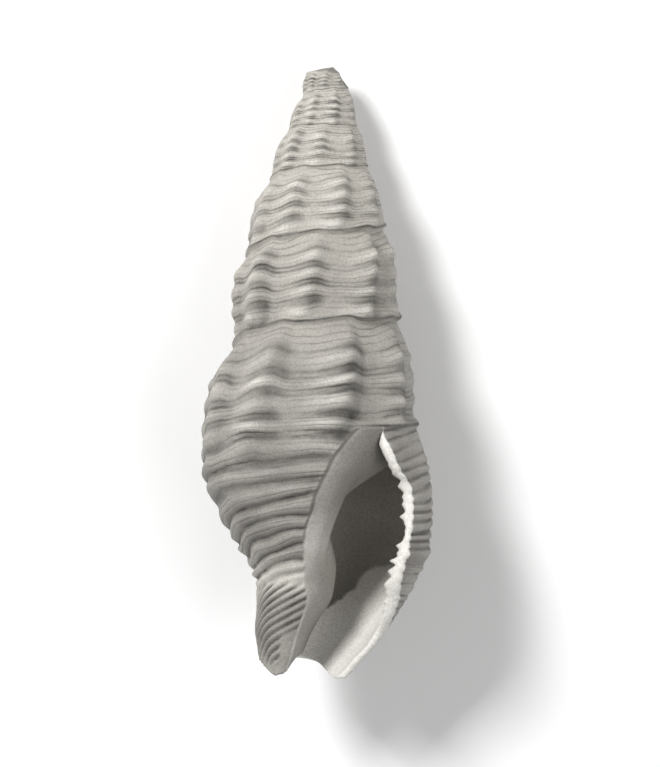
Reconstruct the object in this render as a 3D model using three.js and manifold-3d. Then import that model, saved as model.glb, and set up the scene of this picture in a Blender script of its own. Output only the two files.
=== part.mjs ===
// Fossil phos shell: one slender ribbed and corded sea snail shell, worn, with a broken tip.
// It lies on its back with the aperture up: +X is the aperture's side, +Y runs to the apex,
// +Z is up from the table. The origin is under the middle of the shell. Millimetres.
import * as THREE from 'three';
import { mergeVertices } from 'three/addons/utils/BufferGeometryUtils.js';
import Module from 'manifold-3d';

// Growth: angles are in degrees along the coil, and grow towards the lip.
// 0 is the shell's right side, just behind the lip; the back is -90, the left side -180.
const LIP_ANGLE = 50;
const APEX_ANGLE = -2130;
const COLUMNS_PER_TURN = 43;
const WHORL_ROWS = 10;
const BASE_ROWS = 22;
const HOLLOW_COLUMNS = 22;

// How the shell lies: on its body whorl and spire, the tip lower, worn flat where it touches.
const LEAN = 11.5;
const WORN_FLAT = 0.42;

// The suture that each whorl hangs from, at every half turn: [turns, height, radius].
// Heights are up the coiling axis from the canal's tip. The suture of +0.5 and on is the line
// along which the next whorl would have joined, and is the top of the base.
const SUTURE = [
  [-6, 39.35, 0.9], [-5.5, 39.05, 1.2], [-5, 38.53, 1.39], [-4.5, 37.45, 1.37],
  [-4, 36.16, 2.0], [-3.5, 35.1, 2.2], [-3, 33.7, 2.76], [-2.5, 31.9, 3.13],
  [-2, 30.02, 3.94], [-1.5, 26.79, 4.5], [-1, 24.22, 5.1], [-0.5, 20.94, 5.05],
  [0, 17.47, 6.4], [0.5, 13.64, 7.0], [1, 10.45, 7.85], [1.5, 7.6, 7.75],
];
const SUTURE_SLANT = 0.12;

// Whorl sides, with a bulge of this share of their height, that lies a little low
const WHORL_BULGE = 0.12;
const BULGE_PLACE = 0.8;

// Axial ribs: degrees apart, height in suture radii and how much of it is under the whorl's
// even surface, and where they rise from a suture
const RIB_SPACING = 38;
const RIB_PHASE = -322;
const RIB_SHARPNESS = 1.3;
const RIB_HEIGHT = 0.06;
const RIB_LEVEL = 0.5;
const RIB_START = [0.1, 0.35];
const RIB_END_ON_BASE = 0.15;

// Spiral cords: each whorl has five, which are smaller on the whorls of the spire's tip
const CORDS = 5;
const FIRST_CORD = 0.1;
const CORD_START = [0.15, 0.3];
const CORD_HEIGHT = 0.11;
const FULL_CORD_RADIUS = 4;
const BASE_CORD_HEIGHT = 0.14;
const BASE_CORD_END = [0.6, 0.75];

// A whorl is smooth beside its sutures: these shares of its side
const SMOOTH_TOP = 0.2;
const SMOOTH_BOTTOM = 0.1;

// The base begins where the last whorl shows past the lip, over these growth angles
const BASE_SHOWS = [LIP_ANGLE - 360, LIP_ANGLE - 320];
const BASE_JOIN = 0.3;
const BASE_ROW_DRIFT = 0.03;

// The base under the body whorl, down to the canal: [height, radius] on each side,
// measured from a centre that leaves the coiling axis to the left: [height, shift].
const CANAL_SHIFT = [[0, -1.65], [1, -1.62], [2, -1.56], [3, -1.42], [5, -0.95], [7, -0.57],
  [9, -0.25], [10.5, -0.05], [12, 0], [40, 0]];
const FRONT_SIDE = [[0, 0.62], [0.6, 0.88], [1.3, 1.18], [2, 1.42], [3, 1.75], [4, 2], [5, 2.25],
  [6, 2.45], [7, 2.95], [8, 3.65], [9, 4.4], [10, 5.1], [11, 5.75], [12, 6.2], [13, 6.5], [16, 6.85]];
const LEFT_SIDE = [[0, 0.62], [0.5, 0.86], [1.3, 1.18], [2, 1.42], [3, 1.83], [4, 2.03], [5, 2.25],
  [6, 2.44], [7, 3.03], [8, 3.95], [9, 4.85], [10, 5.7], [11, 6.25], [12, 6.65], [13, 6.85], [16, 7.15]];
const BACK_SIDE = [[0, 2.6], [1.2, 3], [2, 3.3], [3, 3.6], [4, 3.9], [5, 4.25], [6, 4.7],
  [8, 5.7], [10, 6.6], [12, 7.25], [14, 7.5], [16, 7.4]];
const RIGHT_SIDE = [[0, 4.5], [0.5, 4.9], [1.3, 5.45], [2, 6], [3, 6.45], [4, 6.95], [5, 7.4],
  [6, 7.65], [7, 7.8], [8, 7.86], [10, 7.88], [12, 7.85]];
const RIM_HEIGHT = [[-600, 1.2], [-360, 1.5], [-335, 1.35], [-318, 0.85], [-302, 0.25], [-285, 0.03],
  [-180, 0], [-135, 1.1], [-75, 1.5], [-54, 1.3], [-33, 0.55], [-12, 0.03], [60, 0.1]];

// The aperture's inner side: the parietal wall as [drop, radius] in suture radii,
// and the columella as [height, radius]
const PARIETAL_WALL = [[0, 1], [0.17, 0.9], [0.3, 0.83], [0.41, 0.75], [0.52, 0.59], [0.64, 0.43],
  [0.77, 0.3], [0.95, 0.18], [1.3, 0.05], [5, 0]];
const COLUMELLA = [[0, 0.6], [0.5, 0.8], [1.6, 1.3], [2.3, 1.48], [3.8, 1.85], [5.1, 2.2],
  [6, 2.2], [7.1, 2.12], [8.3, 1.78], [9.5, 1.3], [10.7, 1.05], [12, 0.9], [20, 0.8]];
const CALLUS_ANGLES = [-280, -318];

// The outer lip: how far its edge lies behind the suture's end, [height, degrees],
// and its thickness, [height, thickness]
const LIP_LAG = [[0, -50], [2.7, -45], [3.9, -36], [4.8, -34], [6, -27], [7.3, -21], [8.7, -17],
  [10, -16], [12, -14.5], [13, -11], [13.8, -7], [14.8, -1], [15.2, 0], [15.6, 0], [40, 0]];
const LIP_FADE = 120;
const LIP_THICKNESS = [[0, 0.45], [3, 0.65], [6, 0.8], [11, 0.85], [14, 0.65], [17, 0.45], [40, 0.4]];
const LIP_COLUMNS = 3;
const WALL_THICKNESS = 0.6;
const SMALLEST_GAP = 0.3;
const THINNEST_WALL = 0.4;
const HOLLOW_NARROWS = 0.55;

// The middle of the broken tip, and the height at which the columella ends
const TIP_MIDDLE = [0.4, 39.65, 0.1];
const COLUMELLA_END = 0.35;
const WELD_DISTANCE = 1e-4;

const radians = THREE.MathUtils.degToRad;
const mix = THREE.MathUtils.lerp;
const ease = (from, to, x) => {
  const t = THREE.MathUtils.clamp((x - from) / (to - from), 0, 1);
  return t * t * (3 - 2 * t);
};

// Smooth curve through points [x, y] in rising x, level beyond its ends
function curve(points, x, column = 1) {
  const last = points.length - 1;
  if (x <= points[0][0]) return points[0][column];
  if (x >= points[last][0]) return points[last][column];
  let i = 0;
  while (points[i + 1][0] < x) i += 1;
  const slope = (k) => {
    const before = points[Math.max(k - 1, 0)];
    const after = points[Math.min(k + 1, last)];
    return (after[column] - before[column]) / (after[0] - before[0]);
  };
  const width = points[i + 1][0] - points[i][0];
  const t = (x - points[i][0]) / width;
  const start = points[i][column];
  const end = points[i + 1][column];
  const bend = t * (1 - t) * width * (slope(i) * (1 - t) - slope(i + 1) * t);
  return start + (end - start) * t * t * (3 - 2 * t) + bend;
}

// The suture at a growth angle
function suture(angle) {
  const radius = curve(SUTURE, angle / 360, 2);
  const height = curve(SUTURE, angle / 360) - SUTURE_SLANT * radius * Math.cos(radians(angle));
  return { height, radius };
}

// Axial ribs: 1 on a crest, 0 between two
function rib(angle) {
  return (0.5 + 0.5 * Math.cos((angle - RIB_PHASE) / RIB_SPACING * 2 * Math.PI)) ** RIB_SHARPNESS;
}

// The visible side of a whorl, from its upper suture (row 0) to its lower one (row 1)
function whorlSide(angle, row) {
  const upper = suture(angle);
  const lower = suture(angle + 360);
  const drop = upper.height - lower.height;
  const covered = 1 - ease(...BASE_SHOWS, angle);
  const sculpture = ease(0, SMOOTH_TOP, row) * (1 - covered * ease(1 - SMOOTH_BOTTOM, 1, row));
  const bulge = WHORL_BULGE * drop * Math.sin(Math.PI * row ** BULGE_PLACE);
  const ribs = RIB_HEIGHT * upper.radius * (rib(angle) - RIB_LEVEL) * ease(...RIB_START, row);
  const cordWave = Math.cos(2 * CORDS * Math.PI * (row - FIRST_CORD));
  const cords = CORD_HEIGHT * cordWave * ease(...CORD_START, row);
  const size = Math.min(1, upper.radius / FULL_CORD_RADIUS);
  const radius = mix(upper.radius, lower.radius, row) + bulge;
  return {
    height: mix(upper.height, lower.height, row),
    plain: radius,
    radius: radius + sculpture * (ribs + cords * size),
  };
}

// Radius of the base at a growth angle and height, between its four sides
function baseRadius(angle, height) {
  const sides = [FRONT_SIDE, FRONT_SIDE, LEFT_SIDE, BACK_SIDE, RIGHT_SIDE, RIGHT_SIDE];
  const ring = sides.map((side, i) => [-360 + 90 * i, curve(side, height)]);
  return curve(ring, angle);
}

// Radius of the hollow's inner side: parietal wall above, columella below
function innerSide(angle, height) {
  const top = suture(angle + 360);
  const wall = top.radius * curve(PARIETAL_WALL, (top.height - height) / top.radius);
  return (wall ** 4 + curve(COLUMELLA, height) ** 4) ** 0.25;
}

// The base, from the body whorl's last row (row 0) to the canal's rim (row 1)
function baseSide(angle, row) {
  const top = suture(angle + 360);
  const fall = row + BASE_ROW_DRIFT * Math.sin(2 * Math.PI * row);
  const height = mix(top.height, curve(RIM_HEIGHT, angle), fall);
  const join = (top.radius - baseRadius(angle, top.height)) * (1 - ease(0, BASE_JOIN, row));
  const callus = ease(CALLUS_ANGLES[0], CALLUS_ANGLES[1], angle);
  const plain = mix(baseRadius(angle, height) + join, innerSide(angle, height), callus);
  const exposed = ease(...BASE_SHOWS, angle) * (1 - callus);
  const cordWave = -Math.cos(BASE_ROWS * Math.PI * row);
  const cords = BASE_CORD_HEIGHT * cordWave * (1 - ease(...BASE_CORD_END, row));
  const ribSize = RIB_HEIGHT * suture(angle).radius * (1 - ease(0, RIB_END_ON_BASE, row));
  const ribs = ribSize * (rib(angle) - RIB_LEVEL);
  return { height, plain, radius: plain + exposed * (cords + ribs) };
}

// The shell's skin in rows that run from the suture over the whorl and the base
function skin(angle, row) {
  if (row <= WHORL_ROWS) return whorlSide(angle, row / WHORL_ROWS);
  return baseSide(angle, (row - WHORL_ROWS) / BASE_ROWS);
}

// The growth angle of a column: columns near the lip lean back to follow its edge
function columnAngle(column, height) {
  const behindLip = column * 360 / COLUMNS_PER_TURN;
  return LIP_ANGLE - behindLip + curve(LIP_LAG, height) * (1 - ease(0, LIP_FADE, behindLip));
}

// A point at a growth angle, radius and height
function place(angle, radius, height) {
  const x = curve(CANAL_SHIFT, height) + radius * Math.cos(radians(angle));
  return new THREE.Vector3(x, height, radius * Math.sin(radians(angle)));
}

function outerPoint(column, row) {
  const nominal = LIP_ANGLE - column * 360 / COLUMNS_PER_TURN;
  const angle = columnAngle(column, skin(nominal, row).height);
  const point = skin(angle, row);
  return place(angle, point.radius, point.height);
}

// The inner side of the outer wall: it starts on the parietal wall, one turn back,
// and closes onto the columella far behind the lip
function innerPoint(column, row) {
  if (row === 0) return outerPoint(column + COLUMNS_PER_TURN, WHORL_ROWS + 1);
  const nominal = LIP_ANGLE - column * 360 / COLUMNS_PER_TURN;
  const angle = columnAngle(column, skin(nominal, row).height);
  const outer = skin(angle, row);
  const atLip = 1 - ease(0, LIP_COLUMNS, column);
  const thickness = mix(WALL_THICKNESS, curve(LIP_THICKNESS, outer.height), atLip);
  const height = outer.height - thickness * (1 - ease(0, WHORL_ROWS / 2, row));
  const nearest = innerSide(angle - 360, height) + SMALLEST_GAP;
  const closing = ease(HOLLOW_NARROWS, 1, column / HOLLOW_COLUMNS);
  const open = mix(outer.plain - thickness, nearest, closing);
  const radius = Math.min(Math.max(open, nearest), outer.plain - THINNEST_WALL);
  return place(angle, radius, height);
}

// Triangles of the closed shell
const corners = [];
function quad(a, b, c, d) {
  corners.push(a, b, c, a, c, d);
}
function sheet(point, firstColumn, lastColumn, firstRow, lastRow, outward) {
  for (let column = firstColumn; column < lastColumn; column += 1) {
    for (let row = firstRow; row < lastRow; row += 1) {
      const ring = [point(column, row), point(column, row + 1),
        point(column + 1, row + 1), point(column + 1, row)];
      quad(...(outward ? ring : ring.reverse()));
    }
  }
}
function fan(centre, loop) {
  loop.forEach((point, i) => corners.push(centre, point, loop[(i + 1) % loop.length]));
}
function chain(point, from, to) {
  const step = Math.sign(to - from);
  return Array.from({ length: Math.abs(to - from) + 1 }, (_, i) => point(from + i * step));
}

const TURN = COLUMNS_PER_TURN;
const HOLLOW = HOLLOW_COLUMNS;
const RIM = WHORL_ROWS + BASE_ROWS;
const LAST = Math.round((LIP_ANGLE - APEX_ANGLE) / 360 * TURN);

// Whorls, base, the hollow's two sides and the lip's edge
sheet(outerPoint, 0, LAST, 0, WHORL_ROWS, true);
sheet(outerPoint, 0, TURN, WHORL_ROWS, RIM, true);
sheet(outerPoint, TURN, TURN + HOLLOW, WHORL_ROWS + 1, RIM, true);
sheet(innerPoint, 0, HOLLOW, 0, RIM, false);
for (let row = 0; row < RIM; row += 1) {
  quad(outerPoint(0, row), innerPoint(0, row), innerPoint(0, row + 1), outerPoint(0, row + 1));
}

// The canal's rim, the end of the columella and the hollow's far end
for (let column = 0; column < HOLLOW; column += 1) {
  quad(outerPoint(column, RIM), innerPoint(column, RIM),
    innerPoint(column + 1, RIM), outerPoint(column + 1, RIM));
}
const columellaEnd = [innerPoint(HOLLOW, RIM), ...chain((c) => outerPoint(c, RIM), TURN + HOLLOW, HOLLOW)];
fan(place(0, 0, COLUMELLA_END), columellaEnd);
const farEnd = [...chain((r) => outerPoint(TURN + HOLLOW, r), WHORL_ROWS + 1, RIM),
  ...chain((r) => innerPoint(HOLLOW, r), RIM, 1)];
const farMiddle = farEnd.reduce((sum, p) => sum.add(p), new THREE.Vector3()).divideScalar(farEnd.length);
fan(farMiddle, farEnd);

// The broken tip
const brokenTip = [...chain((c) => outerPoint(c, 0), LAST - TURN, LAST),
  ...chain((r) => outerPoint(LAST, r), 1, WHORL_ROWS - 1)];
fan(new THREE.Vector3(...TIP_MIDDLE), brokenTip);

// A closed mesh as a solid, and back
const wasm = await Module();
wasm.setup();
function solid(geometry) {
  geometry.deleteAttribute('normal');
  geometry.deleteAttribute('uv');
  const merged = mergeVertices(geometry, WELD_DISTANCE);
  return new wasm.Manifold(new wasm.Mesh({
    numProp: 3,
    vertProperties: new Float32Array(merged.attributes.position.array),
    triVerts: new Uint32Array(merged.index.array),
  }));
}
function geometryOf(body) {
  const mesh = body.getMesh();
  const geometry = new THREE.BufferGeometry();
  geometry.setAttribute('position', new THREE.BufferAttribute(mesh.vertProperties, mesh.numProp));
  geometry.setIndex(new THREE.BufferAttribute(mesh.triVerts, 1));
  return geometry;
}

// Laid down, worn flat where it meets the table, and set over the origin
const whole = new THREE.BufferGeometry().setFromPoints(corners);
whole.rotateX(radians(-LEAN));
whole.computeBoundingBox();
whole.translate(0, 0, -WORN_FLAT - whole.boundingBox.min.z);
const size = whole.boundingBox.getSize(new THREE.Vector3());
const below = new THREE.BoxGeometry(2 * size.x, 4 * size.y, size.z).translate(0, 0, -size.z / 2);
const shellGeometry = geometryOf(solid(whole).subtract(solid(below)));
shellGeometry.computeBoundingBox();
const middle = shellGeometry.boundingBox.getCenter(new THREE.Vector3());
shellGeometry.translate(-middle.x, -middle.y, 0);
shellGeometry.computeVertexNormals();

const fossilShell = new THREE.MeshStandardMaterial({ color: 0xaaa79f, roughness: 0.75, metalness: 0 });
const shell = new THREE.Mesh(shellGeometry, fossilShell);
shell.name = 'shell';

const fossil = new THREE.Group();
fossil.add(shell);
export default fossil;
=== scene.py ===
import bisect
import functools
import math

import bmesh
import bpy
from mathutils import Matrix, Vector, noise


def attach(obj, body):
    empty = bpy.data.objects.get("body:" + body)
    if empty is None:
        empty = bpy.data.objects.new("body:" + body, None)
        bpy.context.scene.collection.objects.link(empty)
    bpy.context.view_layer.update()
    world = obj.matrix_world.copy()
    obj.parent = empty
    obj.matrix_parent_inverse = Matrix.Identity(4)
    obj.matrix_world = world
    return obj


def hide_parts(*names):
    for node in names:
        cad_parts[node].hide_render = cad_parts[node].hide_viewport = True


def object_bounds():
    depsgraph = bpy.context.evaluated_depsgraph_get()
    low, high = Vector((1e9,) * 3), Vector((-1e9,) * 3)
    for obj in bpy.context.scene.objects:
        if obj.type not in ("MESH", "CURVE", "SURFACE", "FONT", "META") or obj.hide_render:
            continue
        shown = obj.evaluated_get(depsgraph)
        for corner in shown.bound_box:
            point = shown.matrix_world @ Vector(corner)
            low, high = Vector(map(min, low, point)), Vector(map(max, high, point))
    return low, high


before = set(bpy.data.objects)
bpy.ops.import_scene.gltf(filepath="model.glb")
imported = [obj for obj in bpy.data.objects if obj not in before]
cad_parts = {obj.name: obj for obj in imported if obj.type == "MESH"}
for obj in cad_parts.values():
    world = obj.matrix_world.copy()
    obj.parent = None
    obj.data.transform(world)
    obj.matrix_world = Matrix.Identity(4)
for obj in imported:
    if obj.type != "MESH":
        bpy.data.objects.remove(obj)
cad_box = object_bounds()

# The shell
# One sea snail shell, turned to stone: a spire, a body whorl and a base in one coiled wall.
# It grew along its lip, a little at a time, so it is modelled as rows that follow the coil
# and columns that follow the lip. The tip is broken off, and three whorls are worn flat.

# Growth, in degrees along the coil: 0 is the right side, just behind the lip, and the back
# is -90, the left side -180. Lengths are in millimetres, heights up the coiling axis.
LIP_ANGLE = 50
APEX_ANGLE = -2130
TURN = 192                          # columns in a turn
WHORL_ROWS = 64
BASE_ROWS = 120
HOLLOW = 98                         # columns from the lip to the hollow's far end
RIM = WHORL_ROWS + BASE_ROWS
LAST = round((LIP_ANGLE - APEX_ANGLE) / 360 * TURN)
COLUMN_STEP = 360 / TURN
SPIRE = 400                         # from this column on, columns are merged in pairs
DEEP = 40                           # and so are the hollow's from here

MM = 0.001                          # a millimetre, in the frame's metres
LEAN = 11.5                         # how far the tip is lowered, in degrees
SHELL_PLACE = (-0.401, -19.355, 10.225)   # where the coiling axis starts, in the frame


def smooth_curve(*points):
    """A smooth curve through points (x, y) in rising x, level beyond its ends."""
    xs = [x for x, y in points]
    ys = [y for x, y in points]
    last = len(points) - 1
    slopes = [(ys[min(i + 1, last)] - ys[max(i - 1, 0)]) / (xs[min(i + 1, last)] - xs[max(i - 1, 0)])
              for i in range(len(points))]

    def at(x):
        if x <= xs[0]:
            return ys[0]
        if x >= xs[last]:
            return ys[last]
        i = bisect.bisect_right(xs, x) - 1
        width = xs[i + 1] - xs[i]
        t = (x - xs[i]) / width
        bend = t * (1 - t) * width * (slopes[i] * (1 - t) - slopes[i + 1] * t)
        return ys[i] + (ys[i + 1] - ys[i]) * t * t * (3 - 2 * t) + bend

    return at


def ease(start, end, x):
    """0 before start, 1 past end, smooth between; start may be the larger."""
    t = min(max((x - start) / (end - start), 0), 1)
    return t * t * (3 - 2 * t)


def mix(a, b, t):
    return a + (b - a) * t


# The suture that each whorl hangs from, by turns back from the lip. From half a turn ahead
# it is the line where the next whorl would have joined, the top of the base.
suture_height = smooth_curve(
    (-6, 39.35), (-5.5, 39.05), (-5, 38.53), (-4.5, 37.45), (-4, 36.16), (-3.5, 35.1),
    (-3, 33.7), (-2.5, 31.9), (-2, 30.02), (-1.5, 26.79), (-1, 24.22), (-0.5, 20.94),
    (0, 17.47), (0.5, 13.64), (1, 10.45), (1.5, 7.6))
suture_radius = smooth_curve(
    (-6, 0.9), (-5.5, 1.2), (-5, 1.39), (-4.5, 1.37), (-4, 2.0), (-3.5, 2.2),
    (-3, 2.76), (-2.5, 3.13), (-2, 3.94), (-1.5, 4.5), (-1, 5.1), (-0.5, 5.05),
    (0, 6.38), (0.5, 7.0), (1, 7.72), (1.5, 7.85))
SUTURE_SLANT = 0.12

# The base on its four sides, from a centre that leaves the coiling axis to the left
canal_shift = smooth_curve(
    (0, -1.4), (1, -1.37), (2, -1.31), (3, -1.17), (5, -0.72), (7, -0.4), (9, -0.17),
    (10.5, -0.05), (12, 0), (40, 0))
front_side = smooth_curve(
    (0, 0.62), (0.6, 0.88), (1.3, 1.18), (2, 1.42), (3, 1.75), (4, 2), (5, 2.25), (6, 2.45),
    (7, 2.95), (8, 3.65), (9, 4.4), (10, 5.1), (11, 5.75), (12, 6.2), (13, 6.5), (16, 6.85))
left_side = smooth_curve(
    (0, 0.4), (0.5, 0.62), (1.3, 0.9), (2, 1.13), (3, 1.53), (4, 1.73), (5, 1.95), (6, 2.2),
    (7, 2.8), (8, 3.6), (9, 4.4), (10, 5.15), (11, 5.85), (12, 6.35), (13, 6.65), (16, 7.05))
back_side = smooth_curve(
    (0, 2.6), (1.2, 3), (2, 3.3), (3, 3.6), (4, 3.9), (5, 4.25), (6, 4.7), (8, 5.7),
    (10, 6.6), (12, 7.25), (14, 7.5), (16, 7.4))
right_side = smooth_curve(
    (0, 3.9), (0.5, 4.35), (1.3, 4.95), (2, 5.5), (3, 6), (4, 6.35), (5, 6.65), (6, 6.95),
    (7, 7.25), (8, 7.55), (10, 7.7), (12, 7.7))
rim_height = smooth_curve(
    (-600, 1.2), (-360, 1.5), (-335, 1.35), (-318, 0.85), (-302, 0.25), (-285, 0.03), (-180, 0),
    (-135, 1.1), (-75, 1.5), (-54, 1.3), (-33, 0.55), (-12, 0.03), (60, 0.1))

# The aperture's inner side: the parietal wall in suture radii, and the columella
parietal_wall = smooth_curve(
    (0, 1), (0.17, 0.9), (0.3, 0.83), (0.41, 0.75), (0.52, 0.59), (0.64, 0.43), (0.77, 0.3),
    (0.95, 0.18), (1.3, 0.05), (5, 0))
columella = smooth_curve(
    (0, 0.6), (0.5, 0.8), (1.6, 1.3), (2.3, 1.48), (3.8, 1.85), (5.1, 2.2), (6, 2.2),
    (7.1, 2.12), (8.3, 1.78), (9.5, 1.3), (10.7, 1.05), (12, 0.9), (20, 0.8))
CALLUS_TURN = (-280, -318)          # where the base turns in towards the hollow

# The glaze of callus over the base: its left edge by height, as a growth angle
callus_edge = smooth_curve(
    (1, -300), (4.67, -293), (5.85, -281), (7.7, -271), (9.2, -269.5), (10.2, -272),
    (11.1, -273), (11.9, -275.4), (12.9, -279), (13.7, -282), (14.7, -288), (15.7, -295),
    (16.5, -303))
CALLUS_STEP = 0.1
CALLUS_START = (-330, -300)         # growth angles over which the step rises
CALLUS_REACH = 12                   # degrees over which its mark goes from 0 to 1
CALLUS_FADE = 0.15                  # of that reach, over which the sculpture ends at its edge

# The outer lip: how far its edge lies behind the suture's end, and how thick it is
lip_lag = smooth_curve(
    (0, -50), (2.7, -44), (3.9, -34), (4.8, -28), (6, -20), (7.3, -17), (8.7, -16.5), (10, -17),
    (12, -14.5), (13, -7.5), (13.8, -4), (14.8, -1), (15.2, 0), (15.6, 0), (40, 0))
lip_thickness = smooth_curve(
    (0, 0.45), (3, 0.65), (6, 0.9), (8, 0.8), (9.5, 0.8), (11, 1.05), (12.5, 1.05), (14, 0.8),
    (15.5, 0.65), (17, 0.45), (40, 0.4))
LIP_FADE = 120                      # degrees over which columns stop following the lip's edge
LIP_THINS = 25                      # degrees over which the lip thins to a plain wall
WALL_THICKNESS = 0.6
SMALLEST_GAP = 0.3
THINNEST_WALL = 0.4
CLOSING = (0.55, 1)                 # where the hollow narrows, as a share of its length

# The teeth and the roughness inside the lip's edge. A tooth is a height, a size and a width.
TEETH = ((10.2, 0.25, 0.3), (8.35, 0.4, 0.22), (7.4, 0.42, 0.18), (5.7, 0.2, 0.3))
LIP_ROUGHNESS = 0.3
ROUGHNESS_SCALE = 2.6               # lumps in a millimetre
ROUGH_FROM = (3, 5)                 # heights over which it begins
ROUGH_TO = (15, 13)                 # and ends
TEETH_END = (5, 14)                 # degrees behind the edge over which all this ends

# Axial ribs
WHORL_BULGE = 0.085                 # of a whorl's height
BULGE_LEFT = 0.3                    # how much larger it is on the left side
BULGE_PLACE = 0.8                   # under 1 puts it above a whorl's middle
RIB_SPACING = 38                    # degrees
RIB_PHASE = -322
RIB_SHARPNESS = 2.4
RIB_STEEPNESS = 0.5                 # of its right side
RIB_LEE = 8                         # degrees from a rib's crest to the painted shade and dust beside it
RIB_LEAN = 9                        # degrees that a rib leans over a whorl's height
RIB_HEIGHT = 0.125                  # of the suture's radius
RIB_WAVE = 0.045                    # how far a rib lifts the suture, likewise
RIB_MIDDLE = 0.4                    # the part of a rib's height that lifts nothing
LIFT_ENDS = (-120, -40)             # growth angles over which ribs stop lifting the suture
CORD_WAVE = 1.2                     # how much more a rib lifts the cords
RIB_LEVEL = 0.6                     # how much of a rib's height is under the even surface
LEVEL_AT_LIP = 0.3                  # how much of that is left near the lip
NEAR_LIP = (-60, 20)                # growth angles over which the sculpture gets weaker
RIBS_LOST = 0.75                    # how much of the ribs is lost there
RIB_STRAY = (6, 29)                 # degrees that ribs stray from even, and how slowly
RIB_CHANGE = (0.15, 23)             # how much their height changes, and how slowly
LOW_SIDES = (0.65, 6)               # how much lower the side ribs are, and how narrowly
RIB_START = 0.3                     # of a whorl's height, over which ribs rise
RIBS_END = 0.13                     # of the base, over which they end
RIBS_AT_TIP = 0.6                   # how high they are at the tip, where 1 is full
FULL_RIBS = (-1500, -600)           # growth angles over which they reach their full height

# Spiral cords, with finer threads between them
CORDS_ON_WHORL = 4.943
CORDS_ON_BASE = (11, 4)             # rising from the body whorl to the neck
CORD_SHIFT = 0.37                   # of a cord's width, that they drop on the last whorl
SHIFT_TURN = (-480, -340)           # growth angles over which they do
CORD_WANDER = (0.35, 40, 0.7)       # how far they stray, in widths, then degrees and waves across
CORD_CHANGE = (0.6, 25, 0.9)        # how much their height changes, likewise
LIP_SLOPE = 0.5                     # of a cord's width, that cords drop towards the lip
SLOPE_TURN = (-20, 50)
SLOPE_END = (0.1, 0.4)              # of the base, over which the drop ends
BASE_SLANT = 1.1                    # of a cord's width, that the base's cords drop to the left
SLANT_TURN = (-310, -140)
CORD_ROUNDNESS = 0.7
THREAD_WIDTH = 0.1                  # of a cord's width
EVEN_TURN = (-80, 0)                # growth angles over which threads grow as large as cords
EVEN_END = 0.15                     # of the base, over which that ends
CORD_HEIGHT = 0.05                  # of a whorl's height
CORDS_AT_TIP = 0.35                 # how high they are at the tip, where 1 is full
FULL_CORDS = (-1400, -500)          # growth angles over which they reach their full height
BASE_CORD_HEIGHT = 0.3
CORDS_END = (0.6, 0.66)             # of the base, over which they end
CORDS_LOST = (0.8, 0.05, 0.3)       # how much is lost near the lip, and over which of the base
RIDGE_SHARE = 0.35                  # how much of a cord's height is there between two ribs,
KNOT_SHARE = 0.8                    # how much more in a knot, where it crosses a rib,
THREAD_SHARE = 0.15                 # and how much in a thread
CORD_LEVEL = 0.5                    # how much of it is under the even surface
UPPER_BAND = (0.6, 1.3)             # cord phases over which the even band under a suture ends
UPPER_CORDS = 0.25                  # how high the cords are in that band, where 1 is full

# The base, from the body whorl (0) to the rim (1): how far down it changes from a whorl
BASE_START = 0.12                   # in cord height and dust
RIDGES_START = 0.1                  # in its ridges between the ribs
BASE_JOIN = 0.3                     # in its form
LEVEL_END = 0.4                     # in how much of the ribs is under the even surface
ROW_DRIFT = 0.03                    # how much closer its rows are at the middle

# The fasciole and the neck above it: heights and growth angles over which they begin and end
FASCIOLE_CORD = (0.62, 0.26)        # spacing and height
FASCIOLE_SLOPE = 0.7
FASCIOLE_TOP = (6.1, 5.4)
FASCIOLE_FOOT = (0.2, 1.2)
FASCIOLE_END = (-100, -135)
FASCIOLE_BARE_TURN = (-258, -272)   # its lower front is bare
FASCIOLE_BARE_TOP = (3.2, 2.2)
NECK_WEAR = 0.75
NECK_TOP = (8, 6.2)
NECK_FOOT = (4.4, 5.8)
NECK_END = (-90, -140)

# Dust and painted shade in the grooves and along the sutures; the painted shade is deepest on the right
# of a rib, away from the lamp
LEAST_DUST_AND_SHADE = 0.2                    # painted shade and dust on the lit left of a rib, where 1 is the most
DUST_AND_SHADE_WIDTH = 1.3                    # of the painted shade and dust on the right of a rib, in rib widths
THREAD_FILL = (0.3, 0.2)            # how much a thread fills a groove, on a whorl and the base
# how much dust and painted shade the base's grooves get
BASE_DUST_AND_SHADE = 0.55
SUTURE_LINE = (0.03, 0.975)         # of a whorl's height, down to and from which it is dark
SUTURE_EDGE = 0.06                  # of a whorl's height, over which the sculpture rises
COVERED_FROM = 0.94                 # and from which the next whorl covers it


def rib(angle):
    """1 on the crest of an axial rib, 0 between two. No two ribs are quite alike."""
    stray, stray_length = RIB_STRAY
    change, change_length = RIB_CHANGE
    lowness, narrowness = LOW_SIDES
    strayed = angle - RIB_PHASE + stray * math.sin(angle / stray_length)
    along = strayed / RIB_SPACING * math.tau
    wave = 0.5 + 0.5 * math.cos(along + RIB_STEEPNESS * (math.cos(along) - 1))
    low = 1 - lowness * math.cos(math.radians(angle)) ** narrowness
    return wave ** RIB_SHARPNESS * low * (1 - change + change * math.sin(angle / change_length + 1))


@functools.lru_cache(maxsize=None)
def suture(angle):
    """Height and radius of the suture at a growth angle, and how far a rib lifts it."""
    radius = suture_radius(angle / 360)
    height = suture_height(angle / 360) - SUTURE_SLANT * radius * math.cos(math.radians(angle))
    lift = rib(angle + RIB_LEAN / 2) - RIB_MIDDLE
    wave = RIB_WAVE * radius * lift * (1 - ease(*LIFT_ENDS, angle))
    return height + wave, radius, wave


def cord(phase):
    """Spiral cords across the rows: the main ridge, and the fine thread between two."""
    ridge = 0.5 - 0.5 * math.cos(math.tau * phase)
    thread = math.exp(-((phase - round(phase)) / THREAD_WIDTH) ** 2)
    return ridge ** CORD_ROUNDNESS, thread


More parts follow.
